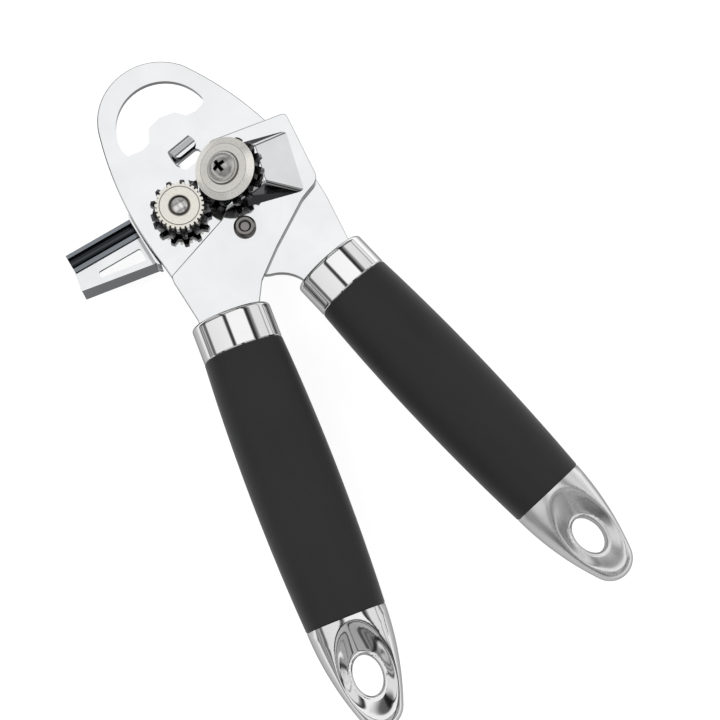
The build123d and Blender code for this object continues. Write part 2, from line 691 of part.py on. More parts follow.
with BuildPart() as cutter_sleeve:
    with BuildSketch(cutter_level(SEAT_DROP)):
        Circle(SLEEVE_R)
        Circle(SCREW_R, mode=Mode.SUBTRACT)
    extrude(amount=SEAT_DROP + SCREW_SEAT)
cutter_sleeve.part.label = "cutter_sleeve"
export_step(cutter_sleeve.part, "parts/cutter_sleeve.step")

SCREW_FLANGE_R = 4.2
SCREW_HEAD_R = 3.5
SCREW_END = -(SEAT_DROP + SEAT_SHEET + NUT_T + 0.2)
with BuildPart() as cutter_screw:
    with BuildSketch(disc_profile_plane()):
        with BuildLine():
            Polyline(
                (0, SCREW_END),
                (SCREW_R, SCREW_END),
                (SCREW_R, SCREW_SEAT),
                (SCREW_FLANGE_R, SCREW_SEAT),
                (SCREW_FLANGE_R, SCREW_SEAT + 0.5),
                (SCREW_HEAD_R, SCREW_SEAT + 0.8),
            )
            dome(SCREW_HEAD_R, SCREW_SEAT + 0.8, 1.9)
            Line((0, SCREW_SEAT + 2.7), (0, SCREW_END))
        make_face()
    revolve(axis=Axis(DISC_CENTRE, LEAN_AXIS))
    # cross recess
    with BuildSketch(cutter_level(-SCREW_SEAT - 3.0).rotated((0, 0, 20))):
        Rectangle(3.4, 0.8)
        Rectangle(0.8, 3.4)
    extrude(amount=-1.9, taper=8, mode=Mode.SUBTRACT)
cutter_screw.part.label = "cutter_screw"
export_step(cutter_screw.part, "parts/cutter_screw.step")

with BuildPart() as cutter_nut:
    with BuildSketch(cutter_level(SEAT_DROP + SEAT_SHEET)):
        RegularPolygon(NUT_R, 6)
        Circle(SCREW_R, mode=Mode.SUBTRACT)
    extrude(amount=-NUT_T)
cutter_nut.part.label = "cutter_nut"
export_step(cutter_nut.part, "parts/cutter_nut.step")

# ---------------------------------------------------------------- handles
FLATTEN = 0.71                  # thickness of a handle over its width
COLLAR_HALF = 12.05
COLLAR_ROUND = 1.3
ARC_INSET = 1 - sqrt(0.5)        # middle of a quarter arc from its corner, per radius
JOINT_ROUND = 0.35              # broken edges where collar, grip and cap meet
GRIP_MIDDLE = (79.0, 13.2)
GRIP_END_HALF = 11.9
CAP_HALF = 11.85
CAP_TIP_R = 6.8


def core_bore():
    """Outline of the hollow for the handle core, in the open sketch."""
    SlotOverall(CORE_WIDTH + 2 * CORE_FIT, CORE_THICKNESS + 2 * CORE_FIT)


def barrel(frame, draw_outline):
    """Oval solid along a handle, from one side of its outline."""
    with BuildPart() as body:
        with BuildSketch(frame):
            with BuildLine():
                draw_outline()
            make_face()
        revolve(axis=Axis(frame.origin, frame.x_dir))
        scale(by=(1, 1, FLATTEN), about=frame.origin)
    return body.part


def grip_outline():
    side = ThreePointArc(
        (GRIP_START + JOINT_ROUND, COLLAR_HALF), GRIP_MIDDLE, (GRIP_END - JOINT_ROUND, GRIP_END_HALF)
    )
    Polyline(
        side @ 1,
        (GRIP_END, GRIP_END_HALF - JOINT_ROUND),
        (GRIP_END, 0),
        (GRIP_START, 0),
        (GRIP_START, COLLAR_HALF - JOINT_ROUND),
        side @ 0,
    )


def cap_outline():
    nose_x = CAP_END - CAP_TIP_R
    side = ThreePointArc((GRIP_END, CAP_HALF), (132.0, 10.2), (nose_x + 2.0, 6.5))
    ThreePointArc(side @ 1, (nose_x + 5.6, 3.86), (CAP_END, 0))
    Polyline((CAP_END, 0), (GRIP_END, 0), side @ 0)


def collar_outline():
    Line((COLLAR_START, 0), (COLLAR_START, COLLAR_HALF - COLLAR_ROUND))
    corner = ThreePointArc(
        (COLLAR_START, COLLAR_HALF - COLLAR_ROUND),
        (COLLAR_START + ARC_INSET * COLLAR_ROUND, COLLAR_HALF - ARC_INSET * COLLAR_ROUND),
        (COLLAR_START + COLLAR_ROUND, COLLAR_HALF),
    )
    Polyline(
        corner @ 1,
        (GRIP_START - JOINT_ROUND, COLLAR_HALF),
        (GRIP_START, COLLAR_HALF - JOINT_ROUND),
        (GRIP_START, 0),
        (COLLAR_START, 0),
    )


for side, name in ((1, "right"), (-1, "left")):
    frame = handle_frame(side)
    collar_barrel = barrel(frame, collar_outline)
    grip_barrel = barrel(frame, grip_outline)
    cap_barrel = barrel(frame, cap_outline)

    with BuildPart() as core:
        with BuildSketch(handle_section(side, CORE_START)):
            SlotOverall(CORE_WIDTH, CORE_THICKNESS)
        extrude(amount=CORE_END - CORE_START)
        with BuildSketch(handle_section(side, CORE_START)):
            Rectangle(2 * TANG_HALF_WIDTH, SHEET)
        extrude(amount=TANG_END - CORE_START, mode=Mode.SUBTRACT)
        with BuildSketch(frame.offset(-CORE_THICKNESS / 2)):
            with Locations(*[(station, 0) for station in PIN_STATIONS]):
                Circle(PIN_R)
        extrude(amount=CORE_THICKNESS, mode=Mode.SUBTRACT)
    core.part.label = f"{name}_handle_core"
    export_step(core.part, f"parts/{name}_handle_core.step")

    with BuildPart() as pins:
        with BuildSketch(frame.offset(-CORE_THICKNESS / 2)):
            with Locations(*[(station, 0) for station in PIN_STATIONS]):
                Circle(PIN_R)
        extrude(amount=CORE_THICKNESS)
    pins.part.label = f"{name}_tang_pins"
    export_step(pins.part, f"parts/{name}_tang_pins.step")

    with BuildPart() as collar:
        add(collar_barrel)
        with BuildSketch(handle_section(side, COLLAR_START)):
            Rectangle(2 * PLATE_HALF_WIDTH, SHEET)
        extrude(amount=CORE_START - COLLAR_START, mode=Mode.SUBTRACT)
        with BuildSketch(handle_section(side, CORE_START)):
            core_bore()
        extrude(amount=GRIP_START - CORE_START, mode=Mode.SUBTRACT)
    collar.part.label = f"{name}_collar"
    export_step(collar.part, f"parts/{name}_collar.step")

    with BuildPart() as grip:
        add(grip_barrel)
        with BuildSketch(handle_section(side, GRIP_START)):
            core_bore()
        extrude(amount=GRIP_END - GRIP_START, mode=Mode.SUBTRACT)
    grip.part.label = f"{name}_grip"
    export_step(grip.part, f"parts/{name}_grip.step")

    with BuildPart() as end_cap:
        add(cap_barrel)
        with BuildSketch(handle_section(side, GRIP_END)):
            core_bore()
        extrude(amount=CORE_END - GRIP_END, mode=Mode.SUBTRACT)
        # hang hole, dished on both faces
        for face in (1, -1):
            with BuildSketch(frame.offset(face * HANG_LIP_HEIGHT)):
                with Locations((HANG_HOLE_STATION, 0)):
                    Ellipse(HANG_HOLE_LENGTH / 2 + HANG_LIP, HANG_HOLE_WIDTH / 2 + HANG_LIP)
            with BuildSketch(frame.offset(face * DISH_HEIGHT)):
                with Locations((DISH_STATION, 0)):
                    Ellipse(DISH_HALF_LENGTH, DISH_HALF_WIDTH)
            loft(mode=Mode.SUBTRACT)
        with BuildSketch(frame.offset(-HANG_LIP_HEIGHT)):
            with Locations((HANG_HOLE_STATION, 0)):
                Ellipse(HANG_HOLE_LENGTH / 2, HANG_HOLE_WIDTH / 2)
        extrude(amount=2 * HANG_LIP_HEIGHT, mode=Mode.SUBTRACT)
    end_cap.part.label = f"{name}_end_cap"
    export_step(end_cap.part, f"parts/{name}_end_cap.step")
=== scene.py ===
import json
import math

import bmesh
import bpy
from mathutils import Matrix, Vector


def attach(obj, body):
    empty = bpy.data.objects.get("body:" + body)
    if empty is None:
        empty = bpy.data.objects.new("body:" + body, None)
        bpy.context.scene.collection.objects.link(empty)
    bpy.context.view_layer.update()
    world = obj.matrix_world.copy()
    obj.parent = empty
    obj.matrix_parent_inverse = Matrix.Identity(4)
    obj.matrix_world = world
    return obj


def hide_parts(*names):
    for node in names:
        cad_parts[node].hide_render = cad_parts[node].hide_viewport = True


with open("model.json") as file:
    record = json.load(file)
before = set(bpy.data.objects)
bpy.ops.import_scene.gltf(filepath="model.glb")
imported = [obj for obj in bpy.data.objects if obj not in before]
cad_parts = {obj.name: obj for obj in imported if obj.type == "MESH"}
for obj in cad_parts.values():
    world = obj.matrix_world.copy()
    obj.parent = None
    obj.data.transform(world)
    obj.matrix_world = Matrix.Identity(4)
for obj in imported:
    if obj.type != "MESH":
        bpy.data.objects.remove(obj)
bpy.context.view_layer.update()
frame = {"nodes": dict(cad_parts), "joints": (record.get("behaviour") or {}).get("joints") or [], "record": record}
nodes = frame["nodes"]
joints = {joint["name"]: joint for joint in frame["joints"]}
MM = 0.001

# ---------------------------------------------------------------- the view
CAMERA_PLACE = (-0.05578, -0.08363, 0.4562)
CAMERA_TURN = (12.569, -2.199, -32.1)      # degrees about X, Y and Z
LENS = 76.25                               # millimetres, on a 36 mm sensor

scene = bpy.context.scene
scene.view_settings.view_transform = "Standard"
scene.view_settings.look = "None"

camera_data = bpy.data.cameras.new("camera")
camera_data.lens = LENS
camera_data.sensor_width = 36.0
camera_data.clip_start = 0.01
camera = bpy.data.objects.new("camera", camera_data)
camera.location = CAMERA_PLACE
camera.rotation_euler = [math.radians(angle) for angle in CAMERA_TURN]
scene.collection.objects.link(camera)
scene.camera = camera


# ---------------------------------------------------------------- node helpers
class Shader:
    """A principled material and the few node calls that the finishes below share."""

    def __init__(self, name, color, metallic, roughness, **sockets):
        self.material = bpy.data.materials.new(name)
        self.material.use_nodes = True
        self.tree = self.material.node_tree
        self.bsdf = self.tree.nodes["Principled BSDF"]
        self.bsdf.inputs["Base Color"].default_value = (*color, 1.0)
        self.bsdf.inputs["Metallic"].default_value = metallic
        self.bsdf.inputs["Roughness"].default_value = roughness
        for socket, value in sockets.items():
            self.bsdf.inputs[socket.replace("_", " ")].default_value = value
        self.coords = self.node("ShaderNodeTexCoord").outputs["Object"]

    def node(self, kind, **settings):
        made = self.tree.nodes.new(kind)
        for name, value in settings.items():
            setattr(made, name, value)
        return made

    def join(self, output, target):
        self.tree.links.new(output, target)

    def stretched(self, scale, turn=0.0):
        """Object coordinates scaled per axis, after a turn about Z in degrees."""
        mapping = self.node("ShaderNodeMapping", vector_type="TEXTURE")
        mapping.inputs["Rotation"].default_value = (0, 0, math.radians(turn))
        mapping.inputs["Scale"].default_value = [1 / s for s in scale]
        self.join(self.coords, mapping.inputs["Vector"])
        return mapping.outputs["Vector"]

    def noise(self, size, detail=3.0, coords=None, distortion=0.0):
        """Noise value with features of that size in millimetres."""
        noise = self.node("ShaderNodeTexNoise")
        noise.inputs["Scale"].default_value = 1.0 / (size * MM)
        noise.inputs["Detail"].default_value = detail
        noise.inputs["Distortion"].default_value = distortion
        self.join(coords or self.coords, noise.inputs["Vector"])
        return noise.outputs["Fac"]

    def spread(self, value, low, high, start=0.3, end=0.7):
        """value, from start to end, mapped to low to high."""
        mapped = self.node("ShaderNodeMapRange")
        mapped.inputs["From Min"].default_value = start
        mapped.inputs["From Max"].default_value = end
        mapped.inputs["To Min"].default_value = low
        mapped.inputs["To Max"].default_value = high
        self.join(value, mapped.inputs["Value"])
        return mapped.outputs["Result"]

    def mix(self, factor, first, second):
        mixed = self.node("ShaderNodeMix", data_type="RGBA")
        targets = (mixed.inputs[0], mixed.inputs[6], mixed.inputs[7])
        for target, value in zip(targets, (factor, first, second)):
            if isinstance(value, bpy.types.NodeSocket):
                self.join(value, target)
            elif isinstance(value, tuple):
                target.default_value = (*value, 1.0)
            else:
                target.default_value = value
        return mixed.outputs[2]

    def math(self, operation, *values):
        done = self.node("ShaderNodeMath", operation=operation)
        for target, value in zip(done.inputs, values):
            if isinstance(value, bpy.types.NodeSocket):
                self.join(value, target)
            else:
                target.default_value = value
        return done.outputs[0]

    def away_from(self, point):
        """Vector from a point in the row frame."""
        away = self.node("ShaderNodeVectorMath", operation="SUBTRACT")
        self.join(self.coords, away.inputs[0])
        away.inputs[1].default_value = point
        return away

    def along(self, point, direction):
        """Distance in metres past a point in a direction."""
        dot = self.node("ShaderNodeVectorMath", operation="DOT_PRODUCT")
        self.join(self.away_from(point).outputs[0], dot.inputs[0])
        dot.inputs[1].default_value = direction
        return dot.outputs["Value"]

    def facing_up(self):
        """1 on a face that looks up out of the plates, -1 on one that looks down."""
        split = self.node("ShaderNodeSeparateXYZ")
        self.join(self.node("ShaderNodeTexCoord").outputs["Normal"], split.inputs[0])
        return split.outputs["Z"]

    def uprightness(self):
        """0 on a face that stands square to the plates, 1 on one level with them."""
        return self.math("ABSOLUTE", self.facing_up())

    def radius_about(self, point, axis):
        """Distance in metres from a line in the row frame."""
        away = self.away_from(point)
        across = self.node("ShaderNodeVectorMath", operation="CROSS_PRODUCT")
        self.join(away.outputs[0], across.inputs[0])
        across.inputs[1].default_value = axis
        length = self.node("ShaderNodeVectorMath", operation="LENGTH")
        self.join(across.outputs[0], length.inputs[0])
        return length.outputs["Value"]

    def bumps(self, *layers):
        """Bump layers of (height, depth in millimetres), one over the other."""
        normal = None
        for height, depth in layers:
            bump = self.node("ShaderNodeBump")
            bump.inputs["Strength"].default_value = 1.0
            bump.inputs["Distance"].default_value = depth * MM
            self.join(height, bump.inputs["Height"])
            if normal is not None:
                self.join(normal, bump.inputs["Normal"])
            normal = bump.outputs["Normal"]
        self.join(normal, self.bsdf.inputs["Normal"])

    def set(self, socket, output):
        self.join(output, self.bsdf.inputs[socket])


# ---------------------------------------------------------------- finishes
RECESS_TURN = 20.0                         # degrees, the cutter screw's cross recess
RECESS_REACH = 2.0                         # half length and half width of an arm, millimetres
RECESS_HALF = 0.58
RECESS_FLOOR = 2.2                         # height above the middle of the disc
KEY_RIM_FROM = 10.6                        # heights above the ground, millimetres
KEY_RIM_TO = 12.0
KEY_TROUGH_BELOW = 9.85
# painted shade in the cutter screw's cross recess
RECESS_SHADE = (0.012, 0.012, 0.012)
# painted shade laid in rings about turned parts
GROOVE_SHADE = (0.03, 0.028, 0.025)
WARM_SHARES = (0.97, 0.955, 0.92)          # of red, green and blue left where a ground face is warm


def polished(name, color, roughness, wear, ripple=0.0006, edge=0.75, flank_shade=None):
    """Plated mirror finish: faint smears, hairline scratches and a slow ripple from pressing.
    The flank shade is (colour, uprightness from, uprightness to): painted shade that darkens steep faces."""
    made = Shader(name, color, 1.0, roughness, Specular_Tint=(edge, edge, edge, 1.0))
    smear = made.noise(14, 4.0, distortion=0.6)
    hairs = made.noise(1.2, 2.0, made.stretched((1, 14, 1), 24))
    marks = made.math("ADD", smear, made.math("MULTIPLY", hairs, 0.35))
    made.set("Roughness", made.spread(marks, roughness, roughness + wear, 0.45, 0.95))
    worn = tuple(channel * 0.93 for channel in color)
    made.tone = made.mix(made.spread(smear, 0.0, 1.0), color, worn)
    # painted shade: steep faces fade to the flank colour by how upright they are
    if flank_shade:
        shaded, start, end = flank_shade
        level_part = made.spread(made.uprightness(), 0.0, 1.0, start, end)
        made.tone = made.mix(level_part, shaded, made.tone)
    made.set("Base Color", made.tone)
    made.bumps((made.noise(9, 1.0), ripple), (hairs, ripple * 0.12))
    return made


def bent_sheet(name, color, shaded, rim):
    """Polished bent sheet of the key, with painted shade on its steep faces, in its trough and on the rims along
    its upper edge.
    """
    made = polished(name, color, 0.05, 0.08, 0.0004, flank_shade=(shaded, 0.93, 0.998))
    # painted shade: the rim band and the trough are darkened by their height
    height = made.along((0, 0, 0), (0, 0, 1))
    above_web = made.math("GREATER_THAN", height, KEY_RIM_FROM * MM)
    in_rim = made.math("MULTIPLY", above_web, made.math("LESS_THAN", height, KEY_RIM_TO * MM))
    in_trough = made.math("LESS_THAN", height, KEY_TROUGH_BELOW * MM)
    in_trough = made.math("MULTIPLY", in_trough, made.math("GREATER_THAN", made.facing_up(), 0.3))
    tone = made.mix(in_rim, made.tone, rim)
    made.set("Base Color", made.mix(in_trough, tone, shaded))
    return made


def screw_head(name, color, joint_name):
    """Polished head with painted shade in its cross recess."""
    joint = joints[joint_name]
    made = polished(name, color, 0.30, 0.08, 0.0004)
    lean = Vector(joint["axis"])
    first = Vector((0, 0, 1)).cross(lean).normalized()
    second = lean.cross(first)
    turn = math.radians(RECESS_TURN)
    arms = []
    for along, across in ((first, second), (second, first)):
        pointing = along * math.cos(turn) + lean.cross(along) * math.sin(turn)
        sideways = across * math.cos(turn) + lean.cross(across) * math.sin(turn)
        reach = made.math("ABSOLUTE", made.along(joint["pos_m"], pointing))
        spread = made.math("ABSOLUTE", made.along(joint["pos_m"], sideways))
        inside = made.math("LESS_THAN", reach, RECESS_REACH * MM)
        arms.append(made.math("MULTIPLY", inside, made.math("LESS_THAN", spread, RECESS_HALF * MM)))
    # painted shade: the cross recess is coloured near black
    high = made.math("GREATER_THAN", made.along(joint["pos_m"], lean), RECESS_FLOOR * MM)
    recess = made.math("MULTIPLY", made.math("MAXIMUM", *arms), high)
    made.set("Base Color", made.mix(recess, made.tone, RECESS_SHADE))
    return made


def turned(name, color, axis_joint, metallic, roughness, pitch, grooves=()):
    """Ground or turned finish: fine rings about a spindle, brighter and duller by turns.
    grooves are (radius, half width, shade) rings of painted shade at grooves, edges and round a rivet, in
    millimetres."""
    joint = joints[axis_joint]
    made = Shader(name, color, metallic, roughness, Specular_Tint=(0.8, 0.8, 0.8, 1.0))
    radius = made.radius_about(joint["pos_m"], joint["axis"])
    rings = made.node("ShaderNodeTexNoise", noise_dimensions="1D")
    rings.inputs["Scale"].default_value = 1.0
    rings.inputs["Detail"].default_value = 4.0
    made.join(made.math("DIVIDE", radius, pitch * MM), rings.inputs["W"])
    ring = rings.outputs["Fac"]
    speck = made.noise(0.9, 4.0)
    cloud = made.noise(5, 3.0)
    dull = tuple(channel * 0.88 for channel in color)
    warm = tuple(channel * share for channel, share in zip(color, WARM_SHARES))
    grey = made.mix(made.spread(ring, 0.0, 1.0), color, dull)
    tone = made.mix(made.spread(cloud, 0.0, 1.0), grey, warm)
    # painted shade: each ring darkens the tone towards its radius
    for groove_radius, half_width, shade in grooves:
        away = made.math("ABSOLUTE", made.math("SUBTRACT", radius, groove_radius * MM))
        groove_shade = made.spread(away, shade, 0.0, 0.4 * half_width * MM, half_width * MM)
        tone = made.mix(groove_shade, tone, GROOVE_SHADE)
    made.set("Base Color", tone)
    marks = made.math("ADD", ring, made.math("MULTIPLY", speck, 0.5))
    made.set("Roughness", made.spread(marks, roughness - 0.04, roughness + 0.08, 0.5, 1.0))
    made.bumps((ring, 0.0016), (speck, 0.0006))
    return made


def stamped(name, color, roughness, wear_and_highlight_from=None):
    """Blackened stamped steel with oil-dark mottling, lighter in patches beyond a radius: partly wear and partly a
    painted highlight on the teeth.
    """
    made = Shader(name, color, 1.0, roughness)
    mottle = made.noise(1.8, 5.0)
    grain = made.noise(0.12, 3.0)
    dark = tuple(channel * 0.55 for channel in color)
    tone = made.mix(made.spread(mottle, 0.0, 1.0), color, dark)
    # partly wear, partly painted highlight: patches past the given radius are lighter
    if wear_and_highlight_from:
        joint_name, start, end = wear_and_highlight_from
        joint = joints[joint_name]
        radius = made.radius_about(joint["pos_m"], joint["axis"])
        wear_and_highlight = made.spread(radius, 0.0, 1.0, start * MM, end * MM)
        patches = made.spread(made.noise(0.8, 3.0), 0.0, 1.0, 0.42, 0.6)
        patchy = made.math("MULTIPLY", wear_and_highlight, patches)
        tone = made.mix(patchy, tone, tuple(channel * 7 for channel in color))
    made.set("Base Color", tone)
    made.set("Roughness", made.spread(mottle, roughness - 0.05, roughness + 0.12))
    made.bumps((mottle, 0.006), (grain, 0.0012))
    return made


def soft_rubber(name, color):
    """Soft-touch rubber: a very fine pebble, slow unevenness and a faint velvet sheen."""
    made = Shader(
        name, color, 0.0, 0.52, Sheen_Weight=0.07, Sheen_Roughness=0.45, Specular_IOR_Level=0.30)
    pebble = made.node("ShaderNodeTexVoronoi")
    pebble.inputs["Scale"].default_value = 1.0 / (0.32 * MM)
    made.join(made.coords, pebble.inputs["Vector"])
    slow = made.noise(22, 3.0)
    dust = made.noise(0.9, 5.0)
    light = tuple(channel * 1.35 for channel in color)
    tone = made.mix(made.spread(slow, 0.0, 1.0), color, light)
    dusty = tuple(channel * 1.8 for channel in color)
    made.set("Base Color", made.mix(made.spread(dust, 0.0, 0.35, 0.55, 0.8), tone, dusty))
    marks = made.math("ADD", slow, made.math("MULTIPLY", dust, 0.4))
    made.set("Roughness", made.spread(marks, 0.46, 0.60, 0.5, 0.9))
    made.bumps((slow, 0.03), (pebble.outputs["Distance"], 0.010))
    return made


def moulded(name, color):
    """Moulded plastic core with flow marks."""
    made = Shader(name, color, 0.0, 0.5)
    flow = made.noise(3, 4.0, made.stretched((1, 5, 1)))
    made.set("Base Color", made.mix(flow, color, tuple(channel * 1.6 for channel in color)))
    made.set("Roughness", made.spread(flow, 0.42, 0.62))
    made.bumps((flow, 0.01))
    return made


# painted shade for steep faces; the round flank shade also gives the uprightness that it fades over
SHEET_EDGE_SHADE = (0.10, 0.10, 0.105)
ROUND_FLANK_SHADE = ((0.44, 0.44, 0.445), 0.58, 0.72)
GEAR_BLACK = (0.030, 0.030, 0.032)
FINISHES = {
    "plate_chrome": polished(
        "plate_chrome", (0.86, 0.868, 0.878), 0.035, 0.05, edge=0.9, flank_shade=(SHEET_EDGE_SHADE, 0.58, 0.80)),
    "key_chrome": bent_sheet(
        "key_chrome", (0.84, 0.85, 0.86), (0.050, 0.056, 0.064), (0.20, 0.22, 0.24)),
    "collar_chrome": polished(
        "collar_chrome", (0.90, 0.90, 0.90), 0.03, 0.05, 0.0004, 0.45, ROUND_FLANK_SHADE),
    "cap_chrome": polished(
        "cap_chrome", (0.86, 0.86, 0.86), 0.06, 0.06, edge=0.45, flank_shade=ROUND_FLANK_SHADE),
    "screw_nickel": polished("screw_nickel", (0.88, 0.87, 0.85), 0.26, 0.08),
    "rivet_nickel": polished(
        "rivet_nickel", (0.27, 0.26, 0.245), 0.16, 0.10, flank_shade=(SHEET_EDGE_SHADE, 0.4, 0.9)),
    # the disc's rings are painted shade at its boss edge and bevel line; the wheel's at its groove and round its
    # rivet
    "disc_steel": turned(
        "disc_steel", (0.80, 0.79, 0.76), "cutter_spin", 0.72, 0.30, 0.11,
        ((4.85, 0.30, 0.8), (7.3, 0.18, 0.35))),
    "wheel_nickel": turned(
        "wheel_nickel", (0.86, 0.84, 0.79), "feed_spin", 0.9, 0.24, 0.10,
        ((5.9, 0.22, 0.7), (2.75, 0.75, 0.95))),
    "gear_steel": stamped("gear_steel", GEAR_BLACK, 0.22, ("feed_spin", 7.8, 8.9)),
    "hidden_steel": stamped("hidden_steel", (0.55, 0.55, 0.55), 0.32),
    "core_plastic": moulded("core_plastic", (0.02, 0.02, 0.02)),
    "grip_rubber": soft_rubber("grip_rubber", (0.0105, 0.0105, 0.011)),
}
NODE_FINISHES = {
    "cutter_gear": stamped("cutter_gear_steel", GEAR_BLACK, 0.22, ("cutter_spin", 9.0, 10.2)),
    "cutter_screw": screw_head("cutter_screw_nickel", (0.60, 0.59, 0.57), "cutter_spin"),
}
for subpart in frame["record"]["subparts"]:
    mesh = nodes[subpart["node"]].data
    finish = NODE_FINISHES.get(subpart["node"]) or FINISHES[subpart["material_slot"]]
    mesh.materials.clear()
    mesh.materials.append(finish.material)


# ---------------------------------------------------------------- end caps
# Millimetres in a handle's own frame: along it, across it, and up from its middle.
PIVOT = Vector((2.13, 41.545, 20.2))
HANDLE_ANGLE = math.radians(10.75)
HANDLES = {"right": (1, 11.8, -1.0), "left": (-1, 13.5, 1.3)}   # side, offset, middle height
FLATTEN = 0.71
CAP_START = 117.6
SIDE_END = (145.0, 6.5)                    # where the side arc gives way to the rounded end
CAP_SIDE = ((CAP_START, 11.85), (132.0, 10.2), SIDE_END)        # three points of its side arc
CAP_NOSE = (SIDE_END, (148.6, 3.86), (149.8, 0.0))              # and of its rounded end
HOLE_STATION = 134.4
HOLE = (HOLE_STATION, 0.0, 5.8, 4.1)                            # middle and half sizes
LIP = (HOLE_STATION, 0.0, 6.9, 5.2)
DISH = (133.2, 0.0, 13.9, 7.6)
LIP_HEIGHT = 2.2
HOLE_DROP = 0.6                            # how far the lip rolls down into the hole
LIP_DROP = 0.25                            # and down to the foot of the dish
DISH_BEND = 0.2                            # share of the dish's rise that curves up to its rim
RIM_SOFTNESS = 0.9
MERGE_DISTANCE = 0.00001                   # metres
SHARP_ANGLE = math.radians(50)
END_STEPS = 16
SIDE_STEPS = 30
NOSE_STEPS = 18
RAY_STEPS = 44


def circle_through(start, middle, end):
    """Centre and radius of the circle through three plan points."""
    (ax, ay), (bx, by), (cx, cy) = start, middle, end
    d = 2 * (ax * (by - cy) + bx * (cy - ay) + cx * (ay - by))
    a2, b2, c2 = ax * ax + ay * ay, bx * bx + by * by, cx * cx + cy * cy
    ox = (a2 * (by - cy) + b2 * (cy - ay) + c2 * (ay - by)) / d
    oy = (a2 * (cx - bx) + b2 * (ax - cx) + c2 * (bx - ax)) / d
    return ox, oy, math.hypot(ax - ox, ay - oy)


def half_width(x):
    """Half width of the cap at a station, from the two arcs of its outline."""
    ox, oy, radius = SIDE_CIRCLE if x < CAP_NOSE[0][0] else NOSE_CIRCLE
    return max(oy + math.sqrt(max(radius ** 2 - (x - ox) ** 2, 0.0)), 0.0)


def arc_line(circle, start, end, steps):
    """Points along a circle from one plan point to another, the short way."""
    ox, oy, radius = circle
    first = math.atan2(start[1] - oy, start[0] - ox)
    sweep = math.atan2(end[1] - oy, end[0] - ox) - first
    angles = [first + sweep * step / steps for step in range(steps + 1)]
    return [(ox + radius * math.cos(angle), oy + radius * math.sin(angle)) for angle in angles]


SIDE_CIRCLE = circle_through(*CAP_SIDE)
NOSE_CIRCLE = circle_through(*CAP_NOSE)
SIDE_LINE = arc_line(SIDE_CIRCLE, CAP_SIDE[0], CAP_SIDE[2], SIDE_STEPS)
NOSE_LINE = arc_line(NOSE_CIRCLE, CAP_NOSE[0], CAP_NOSE[2], NOSE_STEPS)
HALF_LINE = SIDE_LINE[:-1] + NOSE_LINE


def crown(x, y):
    """Height of the undished cap above its middle."""
    return FLATTEN * math.sqrt(max(half_width(x) ** 2 - y * y, 0.0))


def reach(oval, x, y, ux, uy):
    """Distance from a point inside an oval to its edge in a direction."""
    cx, cy, a, b = oval
    px, py = (x - cx) / a, (y - cy) / b
    vx, vy = ux / a, uy / b
    vv, pv, pp = vx * vx + vy * vy, px * vx + py * vy, px * px + py * py
    return (math.sqrt(pv * pv - vv * (pp - 1)) - pv) / vv


def cap_ray(bx, by):
    """Points (x, y, height) from the hang hole's edge out to a point of the outline."""
    hx, hy = HOLE[0], HOLE[1]
    far = math.hypot(bx - hx, by - hy)
    ux, uy = (bx - hx) / far, (by - hy) / far
    hole, lip, dish = (reach(oval, hx, hy, ux, uy) for oval in (HOLE, LIP, DISH))
    rim_height = crown(hx + ux * dish, hy + uy * dish)
    points = []
    for step in range(RAY_STEPS + 1):
        distance = hole + (far - hole) * math.sin(math.pi / 2 * step / RAY_STEPS)
        x, y = hx + ux * distance, hy + uy * distance
        if distance < lip:
            t = (distance - hole) / (lip - hole)
            bowl = LIP_HEIGHT - HOLE_DROP * (1 - t) ** 3 - LIP_DROP * t ** 2
        else:
            t = (distance - lip) / (dish - lip)
            rise = (1 - DISH_BEND) * t + DISH_BEND * t * t
            bowl = LIP_HEIGHT - LIP_DROP + (rim_height - LIP_HEIGHT + LIP_DROP) * rise
        top = crown(x, y)
        # smooth lower of the two heights
        softness = RIM_SOFTNESS ** 2 * min(top, 1.0)
        height = (top + bowl) / 2 - math.sqrt((top - bowl) ** 2 + softness) / 2
        points.append((x, y, max(height, 0.0)))
    return points


def build_end_cap(side_name):
    """Crowned cap with a dished hang hole, in place of the CAD cap of one handle."""
    side, offset, middle = HANDLES[side_name]
    along = Vector((side * math.sin(HANDLE_ANGLE), -math.cos(HANDLE_ANGLE), 0))
    across = Vector((math.cos(HANDLE_ANGLE), side * math.sin(HANDLE_ANGLE), 0))
    origin = PIVOT + across * side * offset + Vector((0, 0, middle))
    ends = [(CAP_START, HALF_LINE[0][1] * (2 * step / END_STEPS - 1)) for step in range(END_STEPS)]
    outline = ends + HALF_LINE + [(x, -y) for x, y in reversed(HALF_LINE[1:-1])]

    def placed(x, y, z):
        return (origin + along * x + across * y + Vector((0, 0, z))) * MM

    bm = bmesh.new()
    loops = []
    for bx, by in outline:
        ray = cap_ray(bx, by)
        section = ray + [(x, y, -z) for x, y, z in reversed(ray)]
        loops.append([bm.verts.new(placed(*point)) for point in section])
    for first, second in zip(loops, loops[1:] + loops[:1]):
        for index in range(len(first)):
            following = (index + 1) % len(first)
            bm.faces.new((first[index], first[following], second[following], second[index]))
    bmesh.ops.remove_doubles(bm, verts=bm.verts, dist=MERGE_DISTANCE)
    bmesh.ops.recalc_face_normals(bm, faces=bm.faces)
    for face in bm.faces:
        face.smooth = True
    mesh = bpy.data.meshes.new(f"{side_name}_cap")
    bm.to_mesh(mesh)
    bm.free()
    mesh.set_sharp_from_angle(angle=SHARP_ANGLE)
    cap = bpy.data.objects.new(f"{side_name}_cap", mesh)
    scene.collection.objects.link(cap)
    mesh.materials.append(CAP_FINISHES[side_name].material)
    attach(cap, "feed_arm" if side > 0 else "cutter_arm")
    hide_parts(f"{side_name}_end_cap")


CAP_FINISHES = {
    "right": polished(
        "right_cap_chrome", (0.80, 0.80, 0.80), 0.24, 0.10, edge=0.45, flank_shade=ROUND_FLANK_SHADE),
    "left": FINISHES["cap_chrome"],
}
for side_name in HANDLES:
    build_end_cap(side_name)


